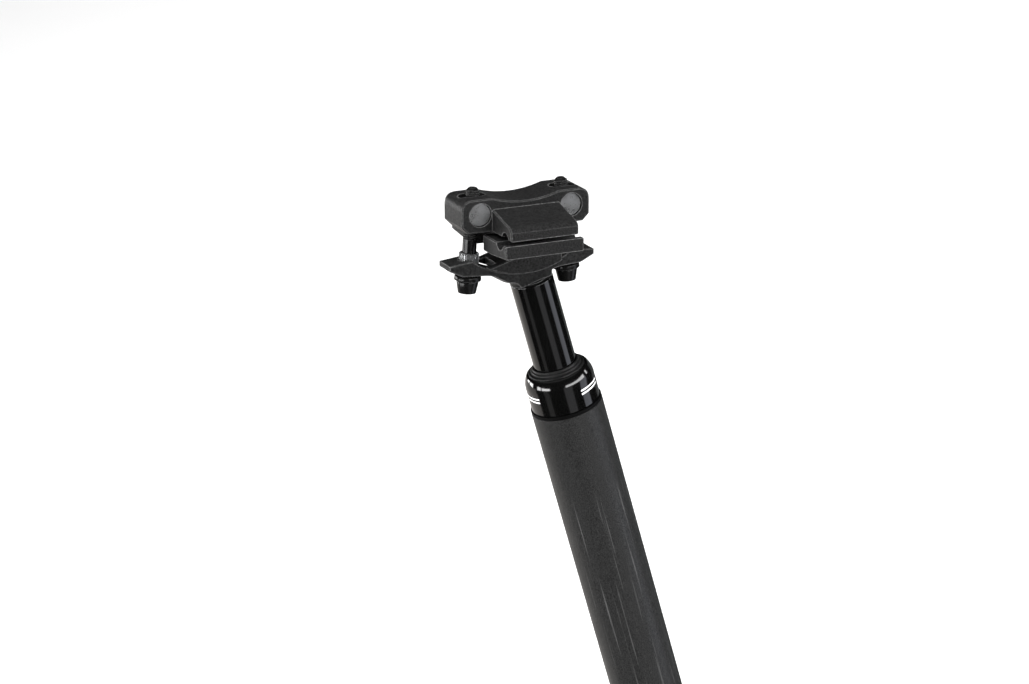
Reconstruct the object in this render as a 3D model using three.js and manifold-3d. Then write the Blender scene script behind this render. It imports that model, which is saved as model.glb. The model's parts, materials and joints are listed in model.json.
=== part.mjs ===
// Telescopic suspension seatpost for a bicycle, in millimetres.
// +Z runs up the tube axis, +X points forwards and +Y to the rider's left.
// The origin is on the tube axis, level with the top of the frame that grips the post.
// The saddle clamp is drawn level, about the centre of its curved seat, and then leaned
// forwards onto the tube.

import * as THREE from "three";
import { mergeVertices } from "three/addons/utils/BufferGeometryUtils.js";
import Module from "manifold-3d";

const wasm = await Module();
wasm.setup();

// ---- Driving sizes ----------------------------------------------------------------

const lean = THREE.MathUtils.degToRad(16);
const roundSides = 40;
const innerSides = 32;
const boltSides = 24;
const faceGap = 0.1;

// Outer tube, gripped by the frame.
const tubeRadius = 15.8;
const boreRadius = 13.5;
const rim = 37;
const tubeBottom = -226;
const keyWidth = 4;
const keywayRadius = 14.7;

// Inner tube and its travel.
const shaftRadius = 9.35;
const shaftBore = 7.35;
const shaftTop = rim + 60.9;
const guideBore = 9.5;
const travel = 35;

// Collar and wiper, on the rim.
const collarRadius = 15.2;
const collarStraight = 13.4;
const collarHeight = 17.9;
const collarThread = 11;
const threadRadius = 13.3;
const ringHeight = 1.6;
const wiperRadius = 12.4;
const wiperSeat = 12;
const lipHeight = 20.6;

// Stack of pieces below the collar, from the top down.
const guideLength = 28;
const bumperLength = 6;
const spacerLength = 26;
const sliderLength = 38;
const flangeThickness = 3;
const sliderRadius = 13.3;

// Spring, its seat and the adjuster at the bottom.
const adjusterRecess = 2.5;
const adjusterHeight = 13;
const socketAcrossFlats = 8;
const socketDepth = 9;
const seatThickness = 4;
const postHeight = 21;
const postRadius = 6;
const wireRadius = 1.6;
const coilRadius = 9.3;
const coilTurns = 13;
const stepsPerTurn = 10;
const elastomerLength = 72;
const elastomerRadius = 6;

// Saddle clamp, measured level from the centre of the curved seat.
const seatCentre = new THREE.Vector3(5.74, 0, rim + 104.6);
const seatRadius = 38.8;
const cradleRadius = seatRadius - 0.3;
const boltReach = 22.8;
const boltLean = THREE.MathUtils.degToRad(4);
const headHalfWidth = 5.65;
const bridgeHalfWidth = 9.35;
const headBevel = 0.3;
const edgeBevel = 0.5;
const padHeight = -37.8;
const nutFace = -33.8;
const railHeight = -19.1;
const railSpacing = 44;
const railGroove = 3.55;
const cradleTop = -20;
const clampBottom = -18.2;
const clampHalfWidth = 28;
const barrelHeight = -10.5;
const barrelRadius = 4.8;
const barrelLength = 17;
const boltRadius = 3;
const threadRoot = 2.45;
const threadLength = 22;
const boltLength = 40;
const boltHeadRadius = 4.7;
const boltFootRadius = 3.9;
const boltHeadHeight = 5.5;
const washerRadius = 5.8;
const washerThickness = 2.35;
const thumbNutRadius = 4.3;
const leanGap = 0.3;

// ---- Derived heights --------------------------------------------------------------

const guideTop = rim - collarThread - faceGap;
const guideBottom = guideTop - guideLength;
const bumperTop = guideBottom - faceGap;
const bumperBottom = bumperTop - bumperLength;
const spacerTop = bumperBottom - faceGap;
const spacerBottom = spacerTop - spacerLength;
const sliderTop = spacerBottom - faceGap;
const sliderBottom = sliderTop - sliderLength;
const flangeTop = sliderBottom - faceGap;
const flangeBottom = flangeTop - flangeThickness;
const springTop = flangeBottom - faceGap;
const adjusterBottom = tubeBottom + adjusterRecess;
const adjusterTop = adjusterBottom + adjusterHeight;
const springSeatBottom = adjusterTop + faceGap;
const springSeatTop = springSeatBottom + seatThickness;
const springBottom = springSeatTop + faceGap;
const barrelReach = boltReach - (barrelHeight - padHeight) * Math.tan(boltLean);

if (elastomerLength + postHeight > springTop - springBottom - travel) {
  throw new Error("the elastomer must clear the post at full travel");
}

// ---- Materials --------------------------------------------------------------------

const matteBlack = finish(0x2f3032, 0.65, 0.1);
const glossBlack = finish(0x101113, 0.12, 0.3);
const forgedBlack = finish(0x242527, 0.55, 0.2);
const boltBlack = finish(0x17181a, 0.4, 0.6);
const brightSteel = finish(0xc9ccd0, 0.3, 1);
const springSteel = finish(0x8f9499, 0.35, 1);
const rubber = finish(0x141414, 0.8, 0);
const polymer = finish(0xd9d6cc, 0.6, 0);
const urethane = finish(0xc7a24a, 0.7, 0);
const alloy = finish(0xaeb1b5, 0.4, 1);

function finish(color, roughness, metalness) {
  return new THREE.MeshStandardMaterial({ color, roughness, metalness });
}

// ---- Solid helpers ----------------------------------------------------------------

// Closed solid from any three.js geometry.
function solid(geometry) {
  const bare = geometry.index ? geometry.toNonIndexed() : geometry.clone();
  bare.deleteAttribute("normal");
  bare.deleteAttribute("uv");
  const merged = mergeVertices(bare, 1e-4);
  const corners = merged.attributes.position.array;
  const faces = [];
  for (let i = 0; i < merged.index.count; i += 3) {
    const [a, b, c] = merged.index.array.slice(i, i + 3);
    if (a !== b && b !== c && a !== c) faces.push(a, b, c);
  }
  const volume = signedVolume(corners, faces);
  const triVerts = Uint32Array.from(volume < 0 ? faces.reverse() : faces);
  const vertProperties = Float32Array.from(corners);
  return new wasm.Manifold(new wasm.Mesh({ numProp: 3, vertProperties, triVerts }));
}

function signedVolume(corners, faces) {
  const [a, b, c] = [new THREE.Vector3(), new THREE.Vector3(), new THREE.Vector3()];
  let volume = 0;
  for (let i = 0; i < faces.length; i += 3) {
    a.fromArray(corners, 3 * faces[i]);
    b.fromArray(corners, 3 * faces[i + 1]);
    c.fromArray(corners, 3 * faces[i + 2]);
    volume += a.dot(b.cross(c)) / 6;
  }
  return volume;
}

// Turned about the tube axis: the profile is a Path of (radius, height).
function turned(profile, sides = roundSides, arcSteps = 4) {
  const points = profile.getPoints(arcSteps);
  if (points[0].x > 0) points.push(points[0].clone());
  return solid(new THREE.LatheGeometry(points, sides).rotateX(Math.PI / 2));
}

function path(points) {
  return new THREE.Path(points.map(([x, y]) => new THREE.Vector2(x, y)));
}

// Plain sleeve between two heights.
function sleeve(outer, inner, bottom, top, sides = innerSides) {
  return turned(path([[inner, bottom], [outer, bottom], [outer, top], [inner, top]]), sides);
}

function block(min, max) {
  const box = new THREE.Box3(new THREE.Vector3(...min), new THREE.Vector3(...max));
  const size = box.getSize(new THREE.Vector3());
  const centre = box.getCenter(new THREE.Vector3());
  return solid(new THREE.BoxGeometry(size.x, size.y, size.z).translate(...centre));
}

// Upright cylinder or prism.
function rod(radius, bottom, top, x = 0, sides = boltSides) {
  const bar = new THREE.CylinderGeometry(radius, radius, top - bottom, sides);
  return solid(bar.rotateX(Math.PI / 2).translate(x, 0, (bottom + top) / 2));
}

// Cylinder lying along Y.
function crossRod(radius, length, x, z) {
  const bar = new THREE.CylinderGeometry(radius, radius, length, boltSides);
  return solid(bar.translate(x, 0, z));
}

function bevelled(shape, length, bevel) {
  return new THREE.ExtrudeGeometry(shape, {
    depth: length - 2 * bevel,
    bevelEnabled: bevel > 0,
    bevelThickness: bevel,
    bevelSize: bevel,
    bevelOffset: -bevel,
    bevelSegments: 1,
    curveSegments: 7,
  }).translate(0, 0, bevel - length / 2);
}

// Side outline in (x, z), as wide as given in y.
function sideSlab(shape, width, bevel = edgeBevel) {
  return solid(bevelled(shape, width, bevel).rotateX(Math.PI / 2));
}

// Front outline in (y, z), as long as given in x.
function frontSlab(shape, length, bevel = edgeBevel) {
  return solid(bevelled(shape, length, bevel).rotateX(Math.PI / 2).rotateZ(Math.PI / 2));
}

function hexagon(acrossFlats) {
  const corners = [];
  for (let i = 0; i < 6; i++) {
    const angle = (i * Math.PI) / 3;
    const reach = acrossFlats / Math.sqrt(3);
    corners.push(new THREE.Vector2(reach * Math.cos(angle), reach * Math.sin(angle)));
  }
  return new THREE.Shape(corners);
}

function hexSocket(acrossFlats, bottom, top) {
  const geometry = bevelled(hexagon(acrossFlats), top - bottom, 0);
  return solid(geometry.translate(0, 0, (bottom + top) / 2));
}

function toGeometry(manifold) {
  const mesh = manifold.getMesh();
  const geometry = new THREE.BufferGeometry();
  geometry.setAttribute("position", new THREE.BufferAttribute(mesh.vertProperties, 3));
  geometry.setIndex(new THREE.BufferAttribute(mesh.triVerts, 1));
  geometry.computeVertexNormals();
  return geometry;
}

const group = new THREE.Group();

function add(name, manifold, material) {
  const mesh = new THREE.Mesh(toGeometry(manifold), material);
  mesh.name = name;
  group.add(mesh);
}

// Puts a piece of the saddle clamp, drawn level about the seat's centre, onto the tube.
function toTube(manifold) {
  return manifold
    .rotate([0, THREE.MathUtils.radToDeg(lean), 0])
    .translate(seatCentre.toArray());
}

// Puts a piece drawn upright, with its zero at the pad, on a bolt's leaning line.
// The rear bolt is on side -1 and the front one on side 1; their tops lean together.
function alongBolt(manifold, side) {
  return manifold
    .rotate([0, -side * THREE.MathUtils.radToDeg(boltLean), 0])
    .translate([side * boltReach, 0, padHeight]);
}

// ---- Outer tube, collar and seals -------------------------------------------------

function outerTube() {
  const chamfer = 0.3;
  const tube = turned(path([
    [boreRadius, tubeBottom],
    [tubeRadius - chamfer, tubeBottom],
    [tubeRadius, tubeBottom + chamfer],
    [tubeRadius, rim - chamfer],
    [tubeRadius - chamfer, rim],
    [boreRadius, rim],
  ]));
  const half = keyWidth / 2 + 0.15;
  const keyways = block([-half, -keywayRadius, tubeBottom - 1], [half, keywayRadius, rim + 1]);
  return tube.subtract(keyways);
}

function lockCollar() {
  const shoulder = rim + collarStraight;
  const top = rim + collarHeight;
  const mouth = wiperRadius + 0.2;
  const seat = rim + wiperSeat;
  const thread = rim - collarThread;
  const profile = path([
    [shaftRadius + 0.65, thread],
    [threadRadius, thread],
    [threadRadius, rim + ringHeight],
    [collarRadius - 0.3, rim + ringHeight],
    [collarRadius, rim + ringHeight + 0.3],
    [collarRadius, shoulder],
  ]);
  profile.bezierCurveTo(collarRadius, top - 1.2, mouth + 1.6, top, mouth + 0.3, top);
  profile.lineTo(mouth, top - 0.3);
  profile.lineTo(mouth, seat);
  profile.lineTo(shaftRadius + 0.65, seat);
  return turned(profile, roundSides, 4);
}

function collarRing() {
  const bottom = rim + faceGap / 2;
  const top = rim + ringHeight - faceGap / 2;
  return sleeve(tubeRadius - 0.05, boreRadius + 0.2, bottom, top, roundSides);
}

function wiperSeal() {
  const top = rim + lipHeight;
  const rest = rim + wiperSeat + faceGap;
  const edge = rim + collarHeight + 0.5;
  const groove = rim + collarHeight - 0.4;
  const bead = (top - groove) * 0.55;
  const profile = path([
    [guideBore + 0.4, rest],
    [wiperRadius, rest],
    [wiperRadius, edge - 0.3],
    [wiperRadius - 0.3, edge],
    [wiperRadius - 0.7, edge],
    [wiperRadius - 1.2, groove],
  ]);
  profile.lineTo(wiperRadius - 1.2, top - bead);
  profile.quadraticCurveTo(wiperRadius - 1.2, top, guideBore + 0.5, top);
  profile.lineTo(guideBore, top - 0.6);
  profile.lineTo(guideBore, top - 3);
  profile.lineTo(guideBore + 0.4, top - 4);
  return turned(profile, roundSides, 3);
}

function guideBush() {
  return sleeve(boreRadius - 0.1, guideBore, guideBottom, guideTop);
}

// ---- Inner tube and what rides on it ----------------------------------------------

function innerTube() {
  const chamfer = 0.25;
  return turned(path([
    [shaftBore, sliderBottom],
    [shaftRadius, sliderBottom],
    [shaftRadius, shaftTop - chamfer],
    [shaftRadius - chamfer, shaftTop],
    [shaftBore, shaftTop],
  ]));
}

function topOutBumper() {
  const waist = 1.2;
  const outer = boreRadius - 0.9;
  const middle = (bumperTop + bumperBottom) / 2;
  const profile = path([
    [guideBore, bumperBottom],
    [outer, bumperBottom],
    [outer, bumperBottom + 1.2],
    [outer - waist, middle],
    [outer, bumperTop - 1.2],
    [outer, bumperTop],
    [guideBore, bumperTop],
  ]);
  return turned(profile, innerSides);
}

function travelSpacer() {
  return sleeve(boreRadius - 0.6, guideBore, spacerBottom, spacerTop);
}

function sliderBush() {
  const sleeveBody = sleeve(sliderRadius, guideBore, sliderBottom, sliderTop);
  const half = keyWidth / 2;
  const slot = keySpan();
  const inner = keyInnerRadius() - faceGap;
  const left = block([-half, inner, slot.bottom - faceGap], [half, keywayRadius, slot.top + faceGap]);
  const right = block([-half, -keywayRadius, slot.bottom - faceGap], [half, -inner, slot.top + faceGap]);
  return sleeveBody.subtract(left).subtract(right);
}

function keySpan() {
  return { bottom: sliderBottom + 6, top: sliderTop - 6 };
}

function keyInnerRadius() {
  return 11.4;
}

// Steel key on one side, running in the outer tube's keyway.
function antiRotationKey(side) {
  const half = keyWidth / 2 - 0.15;
  const span = keySpan();
  const inner = side * keyInnerRadius();
  const outer = side * (keywayRadius - 0.3);
  const min = [-half, Math.min(inner, outer), span.bottom];
  const max = [half, Math.max(inner, outer), span.top];
  return block(min, max);
}

// Plug screwed into the foot of the inner tube; its flange carries the spring.
function springPilot() {
  const plugRadius = shaftBore - 0.15;
  const stub = 3;
  return turned(path([
    [0, flangeBottom - 10],
    [stub, flangeBottom - 10],
    [stub, flangeBottom],
    [sliderRadius - 1, flangeBottom],
    [sliderRadius - 0.4, flangeBottom + 0.6],
    [sliderRadius - 0.4, flangeTop],
    [plugRadius, flangeTop],
    [plugRadius, flangeTop + 14],
    [plugRadius - 1, flangeTop + 15],
    [0, flangeTop + 15],
  ]), innerSides);
}

function elastomer() {
  const top = flangeBottom - faceGap;
  const hole = 3.2;
  const blind = flangeBottom - 11;
  return turned(path([
    [0, top - elastomerLength],
    [elastomerRadius - 1.5, top - elastomerLength],
    [elastomerRadius, top - elastomerLength + 1.5],
    [elastomerRadius, top - 0.8],
    [elastomerRadius - 0.8, top],
    [hole, top],
    [hole, blind],
    [0, blind],
  ]), innerSides);
}

// ---- Spring, its seat and the adjuster --------------------------------------------

// Compression coil with one closed turn at each end.
class Coil extends THREE.Curve {
  getPoint(t, target = new THREE.Vector3()) {
    const turn = t * coilTurns;
    const low = springBottom + wireRadius;
    const high = springTop - wireRadius;
    const closedRise = 2.1 * wireRadius;
    const openTurns = coilTurns - 2;
    const openRise = high - low - 2 * closedRise;
    const openPart = THREE.MathUtils.clamp((turn - 1) / openTurns, 0, 1);
    const closedPart = Math.min(turn, 1) + Math.max(turn - coilTurns + 1, 0);
    const height = low + closedRise * closedPart + openRise * openPart;
    const angle = 2 * Math.PI * turn;
    return target.set(coilRadius * Math.cos(angle), coilRadius * Math.sin(angle), height);
  }
}

function mainSpring() {
  const coil = new Coil();
  coil.arcLengthDivisions = 1500;
  const wire = new THREE.Shape().absarc(0, 0, wireRadius, 0, 2 * Math.PI);
  return solid(new THREE.ExtrudeGeometry(wire, {
    extrudePath: coil,
    steps: Math.round(coilTurns * stepsPerTurn),
    curveSegments: 3,
  }));
}

function springSeat() {
  return turned(path([
    [0, springSeatBottom],
    [sliderRadius - 0.4, springSeatBottom],
    [sliderRadius - 0.4, springSeatTop],
    [postRadius, springSeatTop],
    [postRadius, springSeatTop + postHeight - 1.5],
    [postRadius - 1.5, springSeatTop + postHeight],
    [0, springSeatTop + postHeight],
  ]), innerSides);
}

function preloadAdjuster() {
  const plug = turned(path([
    [0, adjusterBottom],
    [threadRadius - 0.8, adjusterBottom],
    [threadRadius, adjusterBottom + 0.8],
    [threadRadius, adjusterTop - 0.8],
    [threadRadius - 0.8, adjusterTop],
    [0, adjusterTop],
  ]), innerSides);
  const socket = hexSocket(socketAcrossFlats, adjusterBottom - 1, adjusterBottom + socketDepth);
  return plug.subtract(socket);
}

// ---- Saddle clamp, drawn level ----------------------------------------------------

// Side outline of the two bolt ears and the curved seat between them.
function earOutline() {
  const rimReach = 23.1;
  const endReach = 33.5;
  const endTop = -32.3;
  const endNose = -34.5;
  const padOuter = 27;
  const padInner = 17.6;
  const padLevel = (reach) => padHeight + (reach - boltReach) * Math.tan(boltLean);
  const rimAngle = Math.acos(rimReach / seatRadius);
  const shape = new THREE.Shape();
  shape.moveTo(-endReach, endTop);
  shape.lineTo(-endReach, endNose);
  shape.lineTo(-28.6, -36.9);
  shape.lineTo(-padOuter, padLevel(padOuter));
  shape.lineTo(-padInner, padLevel(padInner));
  shape.quadraticCurveTo(-13.5, -38.4, -10.5, -40.3);
  shape.lineTo(0, -41);
  shape.lineTo(12, -39.6);
  shape.lineTo(padInner, padLevel(padInner));
  shape.lineTo(padOuter, padLevel(padOuter));
  shape.lineTo(28.6, -36.9);
  shape.lineTo(endReach, endNose);
  shape.lineTo(endReach, endTop);
  shape.absarc(0, 0, seatRadius, -rimAngle, -Math.PI + rimAngle, true);
  return shape;
}

// Neck turned about the tube axis: a tight fillet off the tube, then a wide flare.
function flaredNeck() {
  const foot = shaftTop + faceGap;
  const flareRadius = 20.5;
  const profile = path([[0, foot], [shaftRadius, foot]]);
  profile.quadraticCurveTo(shaftRadius + 0.1, foot + 3.2, 13.2, foot + 4.3);
  profile.lineTo(flareRadius, foot + 12);
  profile.lineTo(flareRadius, foot + 20);
  profile.lineTo(0, foot + 20);
  return turned(profile, roundSides, 7);
}

function neckSpigot() {
  const top = shaftTop + 0.25;
  const end = shaftTop - 30;
  const radius = shaftBore - 0.15;
  return turned(path([[0, end], [radius - 1, end], [radius, end + 1], [radius, top], [0, top]]));
}

// Level slab around the neck, open at the bottom and ending just under the curved seat.
function neckEnvelope() {
  const reach = boltReach - washerRadius - 0.6;
  const radius = seatRadius + 1.2;
  const angle = Math.acos(reach / radius);
  const shape = new THREE.Shape();
  shape.moveTo(-reach, -60);
  shape.lineTo(reach, -60);
  shape.absarc(0, 0, radius, -angle, angle - Math.PI, true);
  return sideSlab(shape, 2 * headHalfWidth, 0);
}

// Forged head: a plate with two ears and a curved seat, a neck, and a spigot in the inner tube.
function headForging() {
  const nutSeat = nutFace - padHeight;
  let plate = sideSlab(earOutline(), 2 * headHalfWidth, headBevel);
  for (const side of [-1, 1]) {
    plate = plate.subtract(alongBolt(rod(boltRadius + 0.6, -10, 12), side));
    plate = plate.subtract(alongBolt(rod(thumbNutRadius + 0.4, nutSeat, 12), side));
  }
  const neck = flaredNeck().intersect(toTube(neckEnvelope()));
  return toTube(plate).add(neck).add(neckSpigot());
}

// Both rail grooves: twelve-sided bars, with flats at the top and bottom.
function railGrooves() {
  const sides = 12;
  const corner = railGroove / Math.cos(Math.PI / sides);
  const bar = (y) => solid(
    new THREE.CylinderGeometry(corner, corner, 80, sides)
      .rotateY(Math.PI / sides)
      .rotateZ(Math.PI / 2)
      .translate(0, y, railHeight),
  );
  return bar(-railSpacing / 2).add(bar(railSpacing / 2));
}

// Cradle under the rails: a foot on the curved seat, wings, and a notch for each bolt.
function lowerCradle() {
  const reach = 17;
  const footTop = -24;
  const wingTip = -25.6;
  const wingRoot = -27;
  const wingLength = 36;
  const start = Math.acos(reach / cradleRadius);
  const foot = new THREE.Shape();
  foot.moveTo(-reach, footTop);
  foot.absarc(0, 0, cradleRadius, -Math.PI + start, -start, false);
  foot.lineTo(reach, footTop);
  const wings = new THREE.Shape();
  wings.moveTo(-clampHalfWidth, wingTip);
  wings.lineTo(-14, wingRoot);
  wings.lineTo(14, wingRoot);
  wings.lineTo(clampHalfWidth, wingTip);
  wings.lineTo(clampHalfWidth, cradleTop);
  wings.lineTo(-clampHalfWidth, cradleTop);
  const rearNotch = block([-30, -5.6, -50], [-12.2, 5.6, -10]);
  const frontNotch = block([13.4, -4.2, -50], [30, 4.2, -10]);
  return sideSlab(foot, 2 * bridgeHalfWidth - 0.4)
    .add(frontSlab(wings, wingLength))
    .subtract(railGrooves())
    .subtract(rearNotch)
    .subtract(frontNotch);
}

// Slot that lets a bolt swing as the clamp tilts.
function boltSlot(x) {
  const half = 2.5;
  const radius = boltRadius + 0.45;
  const shape = new THREE.Shape();
  shape.absarc(half, 0, radius, -Math.PI / 2, Math.PI / 2, false);
  shape.absarc(-half, 0, radius, Math.PI / 2, (3 * Math.PI) / 2, false);
  return solid(bevelled(shape, 30, 0).translate(x, 0, -10));
}

// Clamp over the rails: a bridge that holds the barrel nuts, and a wing on each side.
function upperClamp() {
  const endReach = 29.4;
  const top = -3.8;
  const wingTop = -8.6;
  const wingLength = 31;
  const bridge = new THREE.Shape();
  bridge.moveTo(-endReach, clampBottom + 3);
  bridge.lineTo(-endReach + 3, clampBottom);
  bridge.lineTo(endReach - 3, clampBottom);
  bridge.lineTo(endReach, clampBottom + 3);
  bridge.lineTo(endReach, top - 5);
  bridge.quadraticCurveTo(endReach, top, endReach - 5, top);
  bridge.lineTo(barrelReach - 5.5, top);
  bridge.quadraticCurveTo(0, top - 5, -barrelReach + 5.5, top);
  bridge.lineTo(-endReach + 5, top);
  bridge.quadraticCurveTo(-endReach, top, -endReach, top - 5);
  const wings = new THREE.Shape();
  wings.moveTo(-clampHalfWidth, clampBottom);
  wings.lineTo(clampHalfWidth, clampBottom);
  wings.lineTo(clampHalfWidth, -14.6);
  wings.quadraticCurveTo(clampHalfWidth - 1, -12.2, railSpacing / 2, -11.8);
  wings.lineTo(9, wingTop);
  wings.lineTo(-9, wingTop);
  wings.lineTo(-railSpacing / 2, -11.8);
  wings.quadraticCurveTo(-clampHalfWidth + 1, -12.2, -clampHalfWidth, -14.6);
  let clamp = sideSlab(bridge, 2 * bridgeHalfWidth)
    .add(frontSlab(wings, wingLength))
    .subtract(railGrooves());
  for (const x of [-barrelReach, barrelReach]) {
    clamp = clamp.subtract(crossRod(barrelRadius + 0.25, 40, x, barrelHeight));
    clamp = clamp.subtract(boltSlot(x));
  }
  return clamp;
}

// Barrel nut, bored wide enough for the bolt to wander a little as the saddle tilts.
function barrelNut(side) {
  const play = 0.6;
  const barrel = crossRod(barrelRadius, barrelLength, side * barrelReach, barrelHeight);
  return barrel.subtract(alongBolt(rod(boltRadius + play, 15, 40), side));
}

// Domed washer: its crown sits in the ear's pad and lets the bolt lean.
function domedWasher(side) {
  const bore = boltRadius + 0.3;
  const top = -leanGap;
  const bottom = top - washerThickness;
  const crown = washerRadius - 1.2;
  const washer = turned(path([
    [bore, bottom],
    [washerRadius - 0.3, bottom],
    [washerRadius, bottom + 0.3],
    [washerRadius, top - 0.6],
    [crown, top],
    [bore, top],
  ]), boltSides);
  return alongBolt(washer, side);
}

// Socket-head bolt, head down, its head tapering towards the socket.
function clampBolt(side) {
  const headTop = -leanGap - washerThickness - faceGap;
  const headBottom = headTop - boltHeadHeight;
  const end = headTop + boltLength;
  const bolt = turned(path([
    [0, headBottom],
    [boltFootRadius - 0.4, headBottom],
    [boltFootRadius, headBottom + 0.4],
    [boltHeadRadius, headTop - 0.7],
    [boltHeadRadius - 0.3, headTop],
    [boltRadius, headTop],
    [boltRadius, end - threadLength],
    [threadRoot, end - threadLength],
    [threadRoot, end - 0.8],
    [threadRoot - 0.8, end],
    [0, end],
  ]), boltSides);
  const socket = hexSocket(5, headBottom - 1, headBottom + 3.2);
  return alongBolt(bolt.subtract(socket), side);
}

// Finger nut with upright ridges, sitting on the rear ear.
function knurledNut(side) {
  const ridges = 26;
  const height = 5;
  const bottom = nutFace - padHeight + leanGap;
  const corners = [];
  for (let i = 0; i < 2 * ridges; i++) {
    const radius = i % 2 ? thumbNutRadius - 0.35 : thumbNutRadius;
    const angle = (i * Math.PI) / ridges;
    corners.push(new THREE.Vector2(radius * Math.cos(angle), radius * Math.sin(angle)));
  }
  const body = bevelled(new THREE.Shape(corners), height, 0);
  const nut = solid(body.translate(0, 0, bottom + height / 2))
    .subtract(rod(boltRadius + 0.3, bottom - 1, bottom + height + 1));
  return alongBolt(nut, side);
}

// ---- Assembly ---------------------------------------------------------------------

add("outer_tube", outerTube(), matteBlack);
add("lock_collar", lockCollar(), glossBlack);
add("collar_o_ring", collarRing(), rubber);
add("wiper_seal", wiperSeal(), rubber);
add("upper_guide_bush", guideBush(), polymer);

add("inner_tube", innerTube(), glossBlack);
add("top_out_bumper", topOutBumper(), rubber);
add("travel_spacer", travelSpacer(), alloy);
add("slider_bush", sliderBush(), polymer);
add("anti_rotation_key_left", antiRotationKey(1), brightSteel);
add("anti_rotation_key_right", antiRotationKey(-1), brightSteel);
add("spring_pilot", springPilot(), alloy);
add("elastomer_bumper", elastomer(), urethane);

add("main_spring", mainSpring(), springSteel);
add("spring_seat", springSeat(), polymer);
add("preload_adjuster", preloadAdjuster(), alloy);

add("head_forging", headForging(), forgedBlack);
add("lower_cradle", toTube(lowerCradle()), forgedBlack);
add("upper_clamp", toTube(upperClamp()), forgedBlack);
for (const [end, side] of [["rear", -1], ["front", 1]]) {
  add(`barrel_nut_${end}`, toTube(barrelNut(side)), brightSteel);
  add(`clamp_bolt_${end}`, toTube(clampBolt(side)), boltBlack);
  add(`domed_washer_${end}`, toTube(domedWasher(side)), boltBlack);
}
add("knurled_thumb_nut", toTube(knurledNut(-1)), brightSteel);

export default group;
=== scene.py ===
"""Looks of the telescopic suspension seatpost: finer pieces, materials, light and camera."""

import json
import math
import operator

import bmesh
import bpy
from mathutils import Matrix, Vector


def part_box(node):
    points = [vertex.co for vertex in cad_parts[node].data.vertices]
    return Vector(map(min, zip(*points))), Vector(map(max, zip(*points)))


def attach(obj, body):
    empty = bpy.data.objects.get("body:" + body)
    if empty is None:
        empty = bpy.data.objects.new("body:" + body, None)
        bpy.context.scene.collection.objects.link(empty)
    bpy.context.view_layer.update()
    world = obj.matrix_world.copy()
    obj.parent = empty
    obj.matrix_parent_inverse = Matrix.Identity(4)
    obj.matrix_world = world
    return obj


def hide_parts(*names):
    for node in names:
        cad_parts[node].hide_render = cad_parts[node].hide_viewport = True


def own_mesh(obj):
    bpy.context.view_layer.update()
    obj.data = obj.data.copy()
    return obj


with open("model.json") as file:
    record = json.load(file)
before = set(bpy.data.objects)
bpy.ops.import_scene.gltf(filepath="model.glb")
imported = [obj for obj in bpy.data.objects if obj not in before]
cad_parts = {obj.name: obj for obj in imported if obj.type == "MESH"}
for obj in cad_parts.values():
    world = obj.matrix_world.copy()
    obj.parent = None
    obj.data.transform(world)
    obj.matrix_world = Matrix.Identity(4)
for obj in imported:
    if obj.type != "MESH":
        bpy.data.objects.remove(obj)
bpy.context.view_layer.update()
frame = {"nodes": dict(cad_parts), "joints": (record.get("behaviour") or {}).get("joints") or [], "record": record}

MM = 0.001

# Steps round a turned piece and a bolt, and in one turn of the spring, of the thread and in a ridge.
SEGMENTS = 144
BOLT_SEGMENTS = 96
COIL_STEPS = 48
THREAD_ROWS = 8
RIDGE_STEPS = 8

# ---- Sizes from the frame -----------------------------------------------------------

joints = {joint["name"]: joint for joint in frame["joints"]}
slots = {part["node"]: part["material_slot"] for part in frame["record"]["subparts"]}
tube_low, tube_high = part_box("outer_tube")
collar_low, collar_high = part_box("lock_collar")
ring_low, ring_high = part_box("collar_o_ring")
wiper_low, wiper_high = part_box("wiper_seal")
shaft_low, shaft_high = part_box("inner_tube")
spring_low, spring_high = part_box("main_spring")
adjuster_low, adjuster_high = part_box("preload_adjuster")

# Sizes that the frame's boxes don't give.
EDGE = 0.3 * MM
TUBE_BORE = 13.5 * MM
KEYWAY_RADIUS = 14.7 * MM
KEYWAY_HALF = 2.15 * MM
SHAFT_BORE = 7.35 * MM
COLLAR_BORE = 10.0 * MM
COLLAR_THREAD = 13.3 * MM
WIPER_BORE = 9.5 * MM
ADJUSTER_PITCH = 1.5 * MM
ADJUSTER_SOCKET = 8 * MM
WIRE_RADIUS = 1.6 * MM
COIL_TURNS = 13
BOLT_RADIUS = 3.0 * MM
THREAD_ROOT = 2.45 * MM
THREAD_PITCH = 1.0 * MM
THREAD_LENGTH = 22 * MM
BOLT_LENGTH = 40 * MM
BOLT_HEAD = 5.5 * MM
BOLT_HEAD_RADIUS = 4.7 * MM
BOLT_FOOT_RADIUS = 3.9 * MM
BOLT_SOCKET = 5 * MM
WASHER_RADIUS = 5.8 * MM
WASHER_GAP = 0.3 * MM
WASHER_THICKNESS = 2.35 * MM
WASHER_TAPER = 0.15 * MM
NUT_RADIUS = 4.3 * MM
NUT_HEIGHT = 5 * MM
NUT_RIDGES = 26
NUT_GROOVE = 0.5 * MM
INK = 0.03 * MM

# ---- Mesh helpers -------------------------------------------------------------------


def add_piece(name, mesh, finish, body, replaced=(), sharp=35):
    """Object for a mesh, with its finish, riding on a body in place of some CAD nodes."""
    mesh.shade_smooth()
    mesh.set_sharp_from_angle(angle=math.radians(sharp))
    piece = bpy.data.objects.new(name, mesh)
    bpy.context.scene.collection.objects.link(piece)
    mesh.materials.append(finishes[finish])
    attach(piece, body)
    if replaced:
        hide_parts(*replaced)
    return piece


def soften(piece, width, segments=2, limit=40):
    """Small round on each sharp edge."""
    bevel = piece.modifiers.new("edge round", "BEVEL")
    bevel.width = width
    bevel.segments = segments
    bevel.limit_method = "ANGLE"
    bevel.angle_limit = math.radians(limit)


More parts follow.
